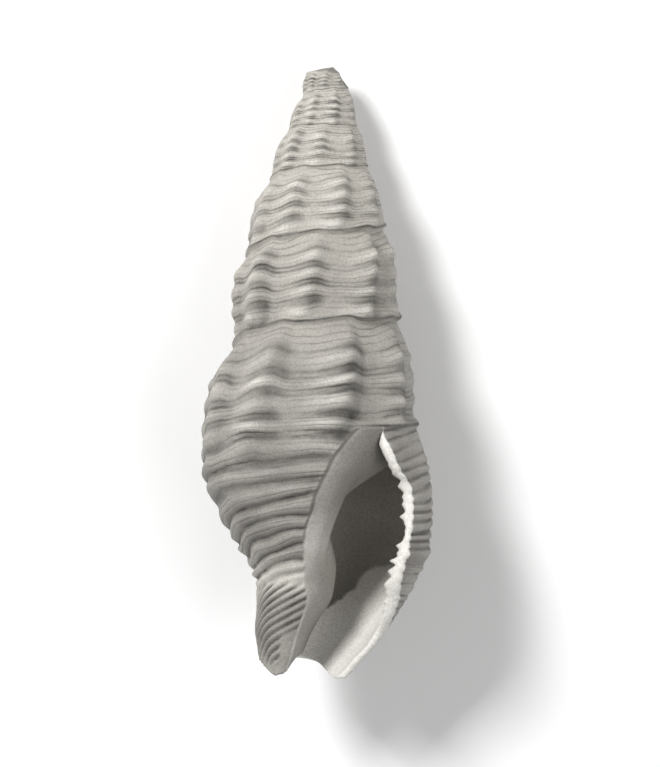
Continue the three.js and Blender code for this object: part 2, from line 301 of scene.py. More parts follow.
def cords_at(angle, phase, q=0):
    """Ridge and thread at a place: towards the lip the threads grow as large as the cords."""
    ridge, thread = cord(phase)
    as_even = ease(*EVEN_TURN, angle) * (1 - ease(0, EVEN_END, q))
    even = (0.5 + 0.5 * math.cos(2 * math.tau * phase)) ** CORD_ROUNDNESS
    most, length, scale_across = CORD_CHANGE
    change = 1 + most * noise.noise((angle / length, phase * scale_across, 5))
    return mix(ridge, even, as_even) * change, thread * (1 - as_even) * change


def cord_height(ridge, knots, thread, ridge_share=RIDGE_SHARE):
    """How far a cord stands out, for a height of 1."""
    return ridge_share * ridge + KNOT_SHARE * knots + THREAD_SHARE * thread - CORD_LEVEL


def dust_and_shade_beside(angle):
    """Dust and painted shade lie in the grooves, the painted shade most of all on the right of a rib,
    away from the lamp.
    """
    return mix(LEAST_DUST_AND_SHADE, 1, min(DUST_AND_SHADE_WIDTH * rib(angle + RIB_LEE), 1))


def exposure(angle):
    """0 where the last turn covers the base, 1 where it is seen."""
    return ease(LIP_ANGLE - 360, LIP_ANGLE - 320, angle)


def cord_phase(angle, v, q=0):
    """Which cord lies at a place on a whorl or the base: a cord's crest is at each half."""
    slope, rise = CORDS_ON_BASE
    phase = CORDS_ON_WHORL * v - CORD_SHIFT * ease(*SHIFT_TURN, angle) + slope * q + rise * q * q
    phase -= LIP_SLOPE * ease(*SLOPE_TURN, angle) * (1 - ease(*SLOPE_END, q))
    phase -= BASE_SLANT * (ease(*SLANT_TURN, angle) - 0.5) * ease(0, BASE_JOIN, q)
    most, length, scale_across = CORD_WANDER
    return phase + most * noise.noise((angle / length, phase * scale_across, 0))


def whorl_side(angle, v):
    """The side of a whorl, from its upper suture (v 0) to its lower one (v 1)."""
    upper_height, upper_radius, wave = suture(angle)
    lower_height, lower_radius, lower_wave = suture(angle + 360)
    drop = upper_height - lower_height
    height = mix(upper_height, lower_height, v) + wave * (v - v ** 2) - lower_wave * (v - v ** 4)
    height += CORD_WAVE * wave * math.sin(math.pi * v)
    bulge = WHORL_BULGE * drop * (1 - BULGE_LEFT * math.cos(math.radians(angle)))
    plain = mix(upper_radius, lower_radius, v) + bulge * math.sin(math.pi * v ** BULGE_PLACE)
    covered = (1 - exposure(angle)) * ease(COVERED_FROM, 1, v)
    edges = ease(0, SUTURE_EDGE, v) * (1 - covered)
    phase = cord_phase(angle, v)
    ridge, thread = cords_at(angle, phase)
    ridge *= mix(UPPER_CORDS, 1, ease(*UPPER_BAND, phase))
    leaning = angle - RIB_LEAN * (v - 0.5)
    near_lip = ease(*NEAR_LIP, angle)
    ribs = rib(leaning) * ease(0, RIB_START, v) * (1 - RIBS_LOST * near_lip)
    knots = ridge * ribs
    rib_size = RIB_HEIGHT * upper_radius * mix(RIBS_AT_TIP, 1, ease(*FULL_RIBS, angle))
    cord_size = CORD_HEIGHT * drop * mix(CORDS_AT_TIP, 1, ease(*FULL_CORDS, angle))
    rib_level = RIB_LEVEL * mix(1, LEVEL_AT_LIP, near_lip)
    raised = rib_size * (ribs - rib_level) + cord_size * cord_height(ridge, knots, thread)
    # The groove mark is dust and painted shade: in the grooves, most on a rib's right, and along the
    # sutures.
    groove = 1 - min(ridge + THREAD_FILL[0] * thread, 1)
    groove *= ease(*UPPER_BAND, phase) * dust_and_shade_beside(leaning)
    above, below = SUTURE_LINE
    groove = max(groove, 1 - ease(0, above, v), ease(below, 1, v) * (1 - exposure(angle)))
    return height, plain, raised * edges, groove, knots, phase


def base_radius(angle, height):
    """Radius of the base between its four sides, a quarter turn apart."""
    sides = (front_side, front_side, left_side, back_side, right_side, right_side)
    last = len(sides) - 1
    quarters = min(max((angle + 360) / 90, 0), last - 0.001)
    i = int(quarters)
    t = quarters - i
    a = sides[i](height)
    b = sides[i + 1](height)
    before = sides[max(i - 1, 0)](height)
    after = sides[min(i + 2, last)](height)
    slope_a = (b - before) / (2 if i > 0 else 1)
    slope_b = (after - a) / (2 if i < last - 1 else 1)
    return a + (b - a) * t * t * (3 - 2 * t) + t * (1 - t) * (slope_a * (1 - t) - slope_b * t)


def inner_side(angle, height):
    """Radius of the hollow's inner side: parietal wall above, columella below."""
    top_height, top_radius, wave = suture(angle + 360)
    wall = top_radius * parietal_wall((top_height - height) / top_radius)
    return (wall ** 4 + columella(height) ** 4) ** (1 / 4)


def base_side(angle, q):
    """The base, from the body whorl's last row (q 0) to the canal's rim (q 1)."""
    top_height, top_radius, wave = suture(angle + 360)
    height = mix(top_height, rim_height(angle), q + ROW_DRIFT * math.sin(math.tau * q))
    join = (top_radius - base_radius(angle, top_height)) * (1 - ease(0, BASE_JOIN, q))
    turned_in = ease(*CALLUS_TURN, angle)
    plain = mix(base_radius(angle, height) + join, inner_side(angle, height), turned_in)
    callus = min(max((callus_edge(height) - angle) / CALLUS_REACH, -1), 1)
    bare = 1 - ease(-CALLUS_FADE, CALLUS_FADE, callus)
    on_base = ease(0, BASE_START, q)

    phase = cord_phase(angle, 1, q)
    ridge, thread = cords_at(angle, phase, q)
    near_lip = ease(*NEAR_LIP, angle)
    lost, lost_from, lost_to = CORDS_LOST
    fade = (1 - ease(*CORDS_END, q)) * (1 - lost * near_lip * ease(lost_from, lost_to, q))
    leaning = angle - RIB_LEAN / 2
    ribs = rib(leaning) * (1 - ease(0, RIBS_END, q)) * (1 - RIBS_LOST * near_lip)
    knots = ridge * ribs
    cords = cord_height(ridge, knots, thread, mix(RIDGE_SHARE, 1, ease(0, RIDGES_START, q)))
    cord_size = mix(CORD_HEIGHT * (suture(angle)[0] - top_height), BASE_CORD_HEIGHT, on_base)
    rib_level = RIB_LEVEL * (1 - ease(0, LEVEL_END, q)) * mix(1, LEVEL_AT_LIP, near_lip)
    raised = cord_size * cords * fade + RIB_HEIGHT * suture(angle)[1] * (ribs - rib_level)
    # The groove mark is dust and painted shade in the base's and the fasciole's grooves.
    groove = 1 - min(ridge + THREAD_FILL[1] * thread, 1)
    groove *= fade * mix(dust_and_shade_beside(leaning), BASE_DUST_AND_SHADE, on_base)

    on_fasciole = ease(*FASCIOLE_TOP, height) * ease(*FASCIOLE_END, angle)
    on_fasciole *= ease(*FASCIOLE_FOOT, height)
    on_fasciole *= 1 - ease(*FASCIOLE_BARE_TURN, angle) * ease(*FASCIOLE_BARE_TOP, height)
    arc = plain * math.radians(angle + 270)
    spacing, fine_height = FASCIOLE_CORD
    fine = cord((height + FASCIOLE_SLOPE * arc) / spacing)[0]
    raised += on_fasciole * fine_height * (fine - 0.5)
    groove = max(groove, on_fasciole * (1 - fine))

    raised = raised * exposure(angle) * bare + CALLUS_STEP * (1 - bare) * ease(*CALLUS_START, angle)
    neck = NECK_WEAR * ease(*NECK_TOP, height) * ease(*NECK_FOOT, height) * ease(*NECK_END, angle)
    # The worn mark: wear and a painted highlight on the knots, and a paler neck.
    worn = max(knots, neck)
    return height, plain, raised, groove * bare, worn * bare, phase, callus


def skin(angle, row):
    """Height, plain radius and raised sculpture of the skin, then what its marks are made of:
    groove, knots, cord phase and callus."""
    if row <= WHORL_ROWS:
        return (*whorl_side(angle, row / WHORL_ROWS), -1)
    return base_side(angle, (row - WHORL_ROWS) / BASE_ROWS)


def place(angle, radius, height):
    turn = math.radians(angle)
    return Vector((canal_shift(height) + radius * math.cos(turn), height, radius * math.sin(turn)))


def column_angle(column, row):
    """Columns near the lip lean back to follow its edge."""
    behind = column * COLUMN_STEP
    height = skin(LIP_ANGLE - behind, row)[0]
    return LIP_ANGLE - behind + lip_lag(height) * (1 - ease(0, LIP_FADE, behind))


# What each point of the skin carries for the material: how deep it lies in a groove, for dust and painted
# shade; how worn its knots are, for wear and a painted highlight; how far it is onto the callus; how far
# inside the hollow, for its painted shade; and how pale, for the chalky lip and the painted light on the
# canal's wall. Last come the growth in turns and the cord's phase, kept as a UV map because they jump at
# a suture.
MARKS = ("groove", "worn", "callus", "inside", "pale")
NO_GROWTH = (0, 0.5)                # for the parts that have no cords
HOLLOW_STARTS = 30                  # columns over which the columella's mark goes from 0 to 1
INSIDE_FROM = (4, 14)               # degrees behind the lip's edge over which the wall's does
OUTER_EDGE_PALE = 0.5               # how pale the lip's edge is on its outer side
PALE_EDGE = 10                      # degrees behind the lip's edge that are pale
PALE_TOOTH = 36                     # and how many more for a tooth 1 mm high
PAINTED_LIGHT_TOP = (8.4, 6.8)         # heights over which the painted light on the canal's wall begins
PAINTED_LIGHT_FOOT = 1                 # height of its foot
PAINTED_LIGHT_END = (-46, -88)         # growth angles where it ends, at its top and its foot
PAINTED_LIGHT_FADE = (-12, 8)          # degrees from there over which it does


def outer_point(column, row):
    paired = SPIRE + TURN if row == WHORL_ROWS else SPIRE
    if row <= WHORL_ROWS and column > paired or row > WHORL_ROWS and column > TURN + DEEP:
        column -= column % 2
    angle = column_angle(column, row)
    height, plain, raised, groove, worn, phase, callus = skin(angle, row)
    inside = ease(TURN, TURN + HOLLOW_STARTS, column) if row > WHORL_ROWS else 0
    pale = OUTER_EDGE_PALE * (column == 0)
    growth = (angle / 360, phase)
    return place(angle, plain + raised, height), (groove, worn, callus, inside, pale, growth)


def inner_point(column, row):
    """The inner side of the outer wall, from the parietal wall one turn back."""
    if row == 0:
        return outer_point(column + TURN, WHORL_ROWS + 1)
    if column > DEEP:
        column -= column % 2
    angle = column_angle(column, row)
    height, plain = skin(angle, row)[:2]
    behind = column * COLUMN_STEP
    thickness = mix(lip_thickness(height), WALL_THICKNESS, ease(0, LIP_THINS, behind))
    height -= thickness * (1 - ease(0, WHORL_ROWS / 2, row))
    nearest = inner_side(angle - 360, height) + SMALLEST_GAP
    radius = mix(plain - thickness, nearest, ease(*CLOSING, column / HOLLOW))
    radius = min(max(radius, nearest), plain - THINNEST_WALL)

    tooth = sum(size * math.exp(-((height - at) / width) ** 2) for at, size, width in TEETH)
    rough = noise.noise((0, height * ROUGHNESS_SCALE, 7))
    rough *= LIP_ROUGHNESS * ease(*ROUGH_FROM, height) * ease(*ROUGH_TO, height)
    radius -= (tooth + rough) * (1 - ease(*TEETH_END, behind))

    # The canal's inner wall is painted white where the lamp lights it: painted light.
    wall_top, wall_full = PAINTED_LIGHT_TOP
    wall_end = mix(*PAINTED_LIGHT_END, ease(wall_full, PAINTED_LIGHT_FOOT, height))
    painted_light = ease(wall_top, wall_full, height)
    painted_light *= ease(*(wall_end + fade for fade in PAINTED_LIGHT_FADE), angle)
    pale = max(painted_light, 1 - behind / (PALE_EDGE + PALE_TOOTH * tooth))
    inside = ease(*INSIDE_FROM, behind)
    return place(angle, radius, height), (0, 0, 1, inside, pale, NO_GROWTH)


def lay_sheet(bm, columns, rows, point):
    """A grid of faces laid on a surface: point(column, row) gives each corner."""
    grid = bmesh.ops.create_grid(bm, x_segments=columns, y_segments=rows, size=0.5)
    layers = [bm.verts.layers.float[name] for name in MARKS]
    growth = bm.loops.layers.uv["growth"]
    growths = {}
    faces = set()
    for vert in grid["verts"]:
        column = round((vert.co.x + 0.5) * columns)
        row = round((vert.co.y + 0.5) * rows)
        vert.co, (*marks, growths[vert]) = point(column, row)
        for layer, mark in zip(layers, marks):
            vert[layer] = mark
        faces.update(vert.link_faces)
    for face in faces:
        for loop in face.loops:
            loop[growth].uv = growths[loop.vert]


def across(a, b, t, swell):
    """A point and its marks part of the way from one edge to another, swollen outwards."""
    co = a[0].lerp(b[0], t) + swell * 4 * t * (1 - t)
    return co, (*(mix(p, q, t) for p, q in zip(a[1][:-1], b[1][:-1])), NO_GROWTH)


# The lip's edge and the canal's rim are rounded across
EDGE_STEPS = 4
LIP_SWELL = Vector((-0.1, 0, 0.16))
RIM_SWELL = Vector((0, -0.1, 0))
SWELL_START = 10                    # rows or columns over which the swelling begins
PALE_START = 8                      # rows over which the lip's pale edge begins


def lip_edge(row, step):
    t = step / EDGE_STEPS if row > 0 else min(step, 1)
    swell = LIP_SWELL * ease(0, SWELL_START, row) * ease(RIM, RIM - SWELL_START, row)
    co, marks = across(outer_point(0, row), inner_point(0, row), t, swell)
    pale = ease(0, PALE_START, row) if 0 < step < EDGE_STEPS else marks[MARKS.index("pale")]
    return co, (0, 0, 1, 0, pale, NO_GROWTH)


def rim_edge(column, step):
    swell = RIM_SWELL * ease(0, SWELL_START, column)
    return across(outer_point(column, RIM), inner_point(column, RIM), step / EDGE_STEPS, swell)


def cap(loop, centre, rings):
    """A cover over a closed loop of points, ring by ring to its centre."""
    def point(along, ring):
        co, marks = loop[along % len(loop)]
        return co.lerp(centre, ring / rings), marks
    return point


shell_bm = bmesh.new()
for name in MARKS:
    shell_bm.verts.layers.float.new(name)
shell_bm.loops.layers.uv.new("growth")

lay_sheet(shell_bm, LAST, WHORL_ROWS, outer_point)
lay_sheet(shell_bm, TURN, BASE_ROWS, lambda c, r: outer_point(c, WHORL_ROWS + r))
lay_sheet(shell_bm, HOLLOW, BASE_ROWS - 1, lambda c, r: outer_point(TURN + c, WHORL_ROWS + 1 + r))
lay_sheet(shell_bm, HOLLOW, RIM, inner_point)
lay_sheet(shell_bm, RIM, EDGE_STEPS, lip_edge)
lay_sheet(shell_bm, HOLLOW, EDGE_STEPS, rim_edge)

# The columella's end, the hollow's far end and the broken tip
COLUMELLA_END = 0.35
COLUMELLA_RINGS = 5
TIP_MIDDLE = Vector((0.4, 39.65, 0.1))
TIP_RINGS = 10
WELD_DISTANCE = 0.002
SHORTEST_EDGE = 0.0005
columella_loop = [outer_point(c, RIM) for c in range(TURN + HOLLOW, HOLLOW - 1, -1)]
columella_loop += [rim_edge(HOLLOW, step) for step in range(1, EDGE_STEPS + 1)]
lay_sheet(shell_bm, len(columella_loop), COLUMELLA_RINGS,
          cap(columella_loop, place(0, 0, COLUMELLA_END), COLUMELLA_RINGS))

far_loop = [outer_point(TURN + HOLLOW, r) for r in range(WHORL_ROWS + 1, RIM + 1)]
far_loop += [inner_point(HOLLOW, r) for r in range(RIM, 0, -1)]
far_middle = sum((co for co, marks in far_loop), Vector()) / len(far_loop)
lay_sheet(shell_bm, len(far_loop), 1, cap(far_loop, far_middle, 1))

tip_loop = [outer_point(c, 0) for c in range(LAST - TURN, LAST + 1)]
tip_loop += [outer_point(LAST, r) for r in range(1, WHORL_ROWS)]
lay_sheet(shell_bm, len(tip_loop), TIP_RINGS, cap(tip_loop, TIP_MIDDLE, TIP_RINGS))

bmesh.ops.remove_doubles(shell_bm, verts=shell_bm.verts, dist=WELD_DISTANCE)
bmesh.ops.dissolve_degenerate(shell_bm, edges=shell_bm.edges, dist=SHORTEST_EDGE)
bmesh.ops.recalc_face_normals(shell_bm, faces=shell_bm.faces)

# Growth and wear leave the surface uneven, most of all at the broken tip
UNEVEN = ((4.0, 0.07), (1.3, 0.03))       # size across and height
TIP_UNEVEN = (0.6, 0.16)
BREAK = (38.2, 39.2)                # heights over which the broken tip begins
TIP_HEIGHT = 39.7
EVEN_TIP = (0.25, 20)               # the share at the tip, and millimetres to grow by 1
shell_bm.normal_update()
shifts = []
for vert in shell_bm.verts:
    shift = sum(height * noise.noise(vert.co / across_size) for across_size, height in UNEVEN)
    shift += ease(*BREAK, vert.co.y) * TIP_UNEVEN[1] * noise.noise(vert.co / TIP_UNEVEN[0])
    shifts.append(vert.normal * shift * min(1, EVEN_TIP[0] + (TIP_HEIGHT - vert.co.y) / EVEN_TIP[1]))
for vert, shift in zip(shell_bm.verts, shifts):
    vert.co += shift

# The shell lies down, with its three worn whorls on the table. Then each side of it, measured
# from where the coiling axis starts, is fitted to the frame's box, so the coil keeps its place.
lay_down = Matrix.Translation(SHELL_PLACE) @ Matrix.Rotation(math.radians(-LEAN), 4, "X")
bmesh.ops.transform(shell_bm, matrix=lay_down, verts=shell_bm.verts)
bmesh.ops.scale(shell_bm, vec=(MM, MM, MM), verts=shell_bm.verts)
for vert in shell_bm.verts:
    vert.co.z = max(vert.co.z, 0)
for axis in range(3):
    start = SHELL_PLACE[axis] * MM
    below = (cad_box[0][axis] - start) / (min(vert.co[axis] for vert in shell_bm.verts) - start)
    above = (cad_box[1][axis] - start) / (max(vert.co[axis] for vert in shell_bm.verts) - start)
    for vert in shell_bm.verts:
        beyond = vert.co[axis] - start
        vert.co[axis] = start + beyond * (above if beyond > 0 else below)

shell_mesh = bpy.data.meshes.new("shell_surface")
shell_bm.to_mesh(shell_mesh)
shell_bm.free()
shell_mesh.shade_smooth()
shell = bpy.data.objects.new("fossil_shell", shell_mesh)
bpy.context.scene.collection.objects.link(shell)
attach(shell, "root")
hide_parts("shell")


# Fossil shell: grey stone, chalky on the knots for wear and as a painted highlight, darker stone dust and
# painted shade in the grooves, an even glaze on the callus with painted shade by height, a hollow painted
# dark as shade, a whitish broken lip and painted light on the canal's wall. It is matt all over.
# Its patterns have their scales in 1/mm, and places along it are in mm from the frame's middle.
def linear(hex_colour):
    """An sRGB hex colour as linear red, green, blue and alpha."""
    parts = [int(hex_colour[i:i + 2], 16) / 255 for i in (1, 3, 5)]
    return (*(c / 12.92 if c <= 0.04045 else ((c + 0.055) / 1.055) ** 2.4 for c in parts), 1)


def add_node(kind, links=(), values=(), stops=(), **properties):
    """Adds a node with its own properties: links are (socket, output) pairs, values are
    (socket, value) pairs, and stops are a ramp's (position, colour) pairs."""
    node = stone.node_tree.nodes.new(kind)
    for name, value in properties.items():
        setattr(node, name, value)
    for socket, value in values:
        node.inputs[socket].default_value = value
    for socket, output in links:
        stone.node_tree.links.new(output, node.inputs[socket])
    for _ in stops[2:]:
        node.color_ramp.elements.new(0.5)
    for element, (position, value) in zip(node.color_ramp.elements if stops else (), stops):
        element.position = position
        element.color = linear(value) if isinstance(value, str) else (value, value, value, 1)
    return node


stone = bpy.data.materials.new("fossil_shell_stone")
stone.use_nodes = True
stone.node_tree.nodes.clear()
marks = {name: add_node("ShaderNodeAttribute", attribute_name=name).outputs["Fac"] for name in MARKS}
object_place = add_node("ShaderNodeTexCoord").outputs["Object"]
in_mm = add_node("ShaderNodeVectorMath", [(0, object_place)], [("Scale", 1 / MM)],
                 operation="SCALE").outputs["Vector"]
along_shell = add_node("ShaderNodeSeparateXYZ", [("Vector", in_mm)]).outputs["Y"]
growth_uv = add_node("ShaderNodeUVMap", uv_map="growth").outputs["UV"]
growth_parts = add_node("ShaderNodeSeparateXYZ", [("Vector", growth_uv)])
cord_place = growth_parts.outputs["Y"]
to_tip = add_node("ShaderNodeMapRange", [("Value", along_shell)],
                  [("From Min", -6), ("From Max", 19)], interpolation_type="SMOOTHSTEP").outputs[0]
on_callus = add_node("ShaderNodeMapRange", [("Value", marks["callus"])],
                     [("From Min", -0.12), ("From Max", 0.12)]).outputs[0]

# Threads and grooves along the cords, which stray a little and come and go in dashes
stray = add_node("ShaderNodeTexNoise", [("Vector", in_mm)], [("Scale", 0.83), ("Detail", 4)]).outputs[0]
strayed = add_node("ShaderNodeMath", [(0, stray), (2, cord_place)], [(1, 0.16)],
                   operation="MULTIPLY_ADD").outputs[0]
centred = add_node("ShaderNodeMath", [(0, strayed)], [(1, 0.08)], operation="SUBTRACT").outputs[0]
within_cord = add_node("ShaderNodeMath", [(0, centred)], operation="FRACT").outputs[0]
double = add_node("ShaderNodeValToRGB", [("Fac", within_cord)], stops=(
    (0, 0.95), (0.06, 0.9), (0.11, 0.05), (0.15, 0.05), (0.2, 0.9), (0.3, 1), (0.7, 1), (0.8, 0.9),
    (0.86, 0.25), (0.89, 0.25), (0.94, 0.9), (1, 0.95)))
double.color_ramp.interpolation = "B_SPLINE"
single = add_node("ShaderNodeValToRGB", [("Fac", within_cord)], stops=(
    (0, 0), (0.06, 0.2), (0.13, 0.85), (0.25, 1), (0.75, 1), (0.87, 0.85), (0.94, 0.2), (1, 0)))
single.color_ramp.interpolation = "B_SPLINE"
crest = add_node("ShaderNodeValToRGB", [("Fac", within_cord)], stops=(
    (0, 1), (0.3, 1), (0.34, 0.45), (0.39, 1), (0.58, 1), (0.63, 0.6), (0.68, 1), (1, 1)))
crest.color_ramp.interpolation = "B_SPLINE"
patchy = add_node("ShaderNodeTexNoise", [("Vector", in_mm)], [("Scale", 0.36), ("Detail", 4)]).outputs[0]
to_base = add_node("ShaderNodeMath", [(0, cord_place), (2, patchy)], [(1, 0.05)],
                   operation="MULTIPLY_ADD").outputs[0]
as_single = add_node("ShaderNodeMapRange", [("Value", to_base)],
                     [("From Min", 0.6), ("From Max", 0.9)]).outputs[0]
grooves = add_node("ShaderNodeMix", [(0, as_single), (6, double.outputs[0]), (7, single.outputs[0])],
                   data_type="RGBA").outputs[2]
grooves = add_node("ShaderNodeMix", [(6, grooves), (7, crest.outputs[0])], [(0, 1)],
                   data_type="RGBA", blend_type="MULTIPLY").outputs[2]

# The band under a suture has finer threads, and near the lip all threads are even
finer = add_node("ShaderNodeMath", [(0, centred)], [(1, 2.7)], operation="MULTIPLY").outputs[0]
within_finer = add_node("ShaderNodeMath", [(0, finer)], operation="FRACT").outputs[0]
fine_threads = add_node("ShaderNodeValToRGB", [("Fac", within_finer)], stops=(
    (0, 0.35), (0.1, 0.9), (0.5, 1), (0.9, 0.9), (1, 0.35)))
fine_threads.color_ramp.interpolation = "B_SPLINE"
below_band = add_node("ShaderNodeMapRange", [("Value", cord_place)],
                      [("From Min", 0.9), ("From Max", 1.35)]).outputs[0]
grooves = add_node("ShaderNodeMix", [(0, below_band), (6, fine_threads.outputs[0]), (7, grooves)],
                   data_type="RGBA").outputs[2]
between = add_node("ShaderNodeMath", [(0, centred)], [(1, 2), (2, 0.5)],
                   operation="MULTIPLY_ADD").outputs[0]
within_even = add_node("ShaderNodeMath", [(0, between)], operation="FRACT").outputs[0]
even = add_node("ShaderNodeValToRGB", [("Fac", within_even)], stops=(
    (0, 0.15), (0.07, 0.3), (0.16, 0.9), (0.3, 1), (0.7, 1), (0.84, 0.9), (0.93, 0.3), (1, 0.15)))
even.color_ramp.interpolation = "B_SPLINE"
by_lip = add_node("ShaderNodeMapRange", [("Value", growth_parts.outputs["X"])],
                  [("From Min", -0.2), ("From Max", -0.02)]).outputs[0]
above_base = add_node("ShaderNodeMapRange", [("Value", cord_place)],
                      [("From Min", 6.4), ("From Max", 5)]).outputs[0]
as_even = add_node("ShaderNodeMath", [(0, by_lip), (1, above_base)], operation="MULTIPLY").outputs[0]
grooves = add_node("ShaderNodeMix", [(0, as_even), (6, grooves), (7, even.outputs[0])],
                   data_type="RGBA").outputs[2]

# Threads come and go in dashes along the growth, fade to the tip, and end above the neck
stretched = add_node("ShaderNodeVectorMath", [(0, growth_uv)], [(1, (11, 1.3, 0))],
                     operation="MULTIPLY").outputs["Vector"]
dash_noise = add_node("ShaderNodeTexNoise", [("Vector", stretched)], [("Scale", 1), ("Detail", 3)])
dashes = add_node("ShaderNodeMapRange", [("Value", dash_noise.outputs[0])],
                  [("From Min", 0.4), ("From Max", 0.62), ("To Min", 0.3), ("To Max", 1)]).outputs[0]
fading = add_node("ShaderNodeMapRange", [("Value", to_tip)], [("To Min", 1), ("To Max", 0.8)]).outputs[0]
above_neck = add_node("ShaderNodeMapRange", [("Value", cord_place)],
                      [("From Min", 12.6), ("From Max", 12.2)]).outputs[0]
off_callus = add_node("ShaderNodeMath", [(1, on_callus)], [(0, 1)], operation="SUBTRACT").outputs[0]
thread_size = dashes
for factor in (fading, above_neck, off_callus):
    thread_size = add_node("ShaderNodeMath", [(0, thread_size), (1, factor)],
                           operation="MULTIPLY").outputs[0]
depth = add_node("ShaderNodeMath", [(1, grooves)], [(0, 1)], operation="SUBTRACT").outputs[0]
lines = add_node("ShaderNodeMath", [(0, depth), (1, thread_size)], operation="MULTIPLY").outputs[0]

# The colours: mottled stone, paler to the tip, and on the knots for wear and a painted highlight, with
# dust and painted shade in the grooves
mottle = add_node("ShaderNodeTexNoise", [("Vector", in_mm)], [("Scale", 0.33), ("Detail", 4)]).outputs[0]
body_colour = add_node("ShaderNodeValToRGB", [("Fac", mottle)], stops=(
    (0.3, "#8F8C87"), (0.5, "#9E9B96"), (0.72, "#ACA9A3"))).outputs[0]
colour = add_node("ShaderNodeMix", [(0, to_tip), (6, body_colour)], [(7, linear("#C5C1B9"))],
                  data_type="RGBA").outputs[2]
# Knots are painted paler: partly wear, partly a painted highlight.
knot_wear_and_highlight = add_node("ShaderNodeMath", [(0, marks["worn"])], [(1, 0.7)], operation="MULTIPLY").outputs[0]
colour = add_node("ShaderNodeMix", [(0, knot_wear_and_highlight), (6, colour)], [(7, linear("#E4E1DA"))],
                  data_type="RGBA").outputs[2]
# Dust and painted shade darken the grooves and the threads' lines, patchily.
dust_and_shade_noise = add_node("ShaderNodeTexNoise", [("Vector", in_mm)], [("Scale", 0.62), ("Detail", 4)])
dust_and_shade = add_node("ShaderNodeMapRange", [("Value", dust_and_shade_noise.outputs[0])],
                [("From Min", 0.35), ("From Max", 0.65), ("To Min", 0.55), ("To Max", 1)]).outputs[0]
dust_and_shade = add_node("ShaderNodeMath", [(0, dust_and_shade), (1, fading)], operation="MULTIPLY").outputs[0]
deep = add_node("ShaderNodeMapRange", [("Value", marks["groove"])],
                [("From Min", 0.1), ("From Max", 0.8)]).outputs[0]
dust_and_shade_in_grooves = add_node("ShaderNodeMath", [(0, deep), (1, dust_and_shade)], operation="MULTIPLY").outputs[0]
colour = add_node("ShaderNodeMix", [(0, dust_and_shade_in_grooves), (6, colour)], [(7, linear("#3D3A37"))],
                  data_type="RGBA").outputs[2]
dust_and_shade_in_lines = add_node("ShaderNodeMath", [(0, lines), (1, dust_and_shade)], operation="MULTIPLY").outputs[0]
dust_and_shade_in_lines = add_node("ShaderNodeMath", [(0, dust_and_shade_in_lines)], [(1, 0.75)], operation="MULTIPLY").outputs[0]
colour = add_node("ShaderNodeMix", [(0, dust_and_shade_in_lines), (6, colour)], [(7, linear("#524F4B"))],
                  data_type="RGBA").outputs[2]

# The glaze of the callus, its tone by height painted shade, darkest towards its top, which faces away
# from the lamp, and the dark line at its edge
callus_shade_height = add_node("ShaderNodeMapRange", [("Value", along_shell)],
                         [("From Min", -13), ("From Max", -6)]).outputs[0]
glaze_with_painted_shade = add_node("ShaderNodeValToRGB", [("Fac", callus_shade_height)], stops=(
    (0, "#A7A49F"), (0.35, "#CBC8C3"), (0.8, "#96938E"))).outputs[0]
colour = add_node("ShaderNodeMix", [(0, on_callus), (6, colour), (7, glaze_with_painted_shade)],
                  data_type="RGBA").outputs[2]
from_edge = add_node("ShaderNodeMath", [(0, marks["callus"])], operation="ABSOLUTE").outputs[0]
at_edge = add_node("ShaderNodeMapRange", [("Value", from_edge)],
                   [("From Min", 0.14), ("From Max", 0.04), ("To Max", 0.75)]).outputs[0]
high_up = add_node("ShaderNodeMapRange", [("Value", along_shell)],
                   [("From Min", -11.5), ("From Max", -9)]).outputs[0]
edge_line = add_node("ShaderNodeMath", [(0, at_edge), (1, high_up)], operation="MULTIPLY").outputs[0]
colour = add_node("ShaderNodeMix", [(0, edge_line), (6, colour)], [(7, linear("#4E4B47"))],
                  data_type="RGBA").outputs[2]

# The hollow painted dark as shade, the chalky lip with painted light on the canal's wall, and the fine
# specks
# Inside the hollow the colour is painted shade: dark grey low by the canal, lighter higher up.
above_canal = add_node("ShaderNodeMapRange", [("Value", along_shell)],
                       [("From Min", -16), ("From Max", -10)]).outputs[0]
hollow_painted_shade = add_node("ShaderNodeMix", [(0, above_canal)],
                 [(6, linear("#6E6B66")), (7, linear("#C9C6C1"))], data_type="RGBA").outputs[2]
colour = add_node("ShaderNodeMix", [(0, marks["inside"]), (6, colour), (7, hollow_painted_shade)],
                  data_type="RGBA").outputs[2]
chips = add_node("ShaderNodeTexNoise", [("Vector", in_mm)], [("Scale", 2), ("Detail", 4)]).outputs[0]
ragged = add_node("ShaderNodeMath", [(0, chips), (2, marks["pale"])], [(1, 0.5)],
                  operation="MULTIPLY_ADD").outputs[0]
# The pale mark makes the broken lip chalky and paints light on the canal's wall.
chalk_and_painted_light = add_node("ShaderNodeMapRange", [("Value", ragged)],
                  [("From Min", 0.6), ("From Max", 0.85)]).outputs[0]
colour = add_node("ShaderNodeMix", [(0, chalk_and_painted_light), (6, colour)], [(7, linear("#EEECE7"))],
                  data_type="RGBA").outputs[2]
grain = add_node("ShaderNodeTexNoise", [("Vector", in_mm)], [("Scale", 7), ("Detail", 2)]).outputs[0]
specks = add_node("ShaderNodeMapRange", [("Value", grain)],
                  [("From Min", 0.35), ("From Max", 0.7), ("To Max", 0.8)]).outputs[0]
colour = add_node("ShaderNodeMix", [(0, specks), (6, colour)], [(7, linear("#DDDAD5"))],
                  data_type="RGBA", blend_type="MULTIPLY").outputs[2]

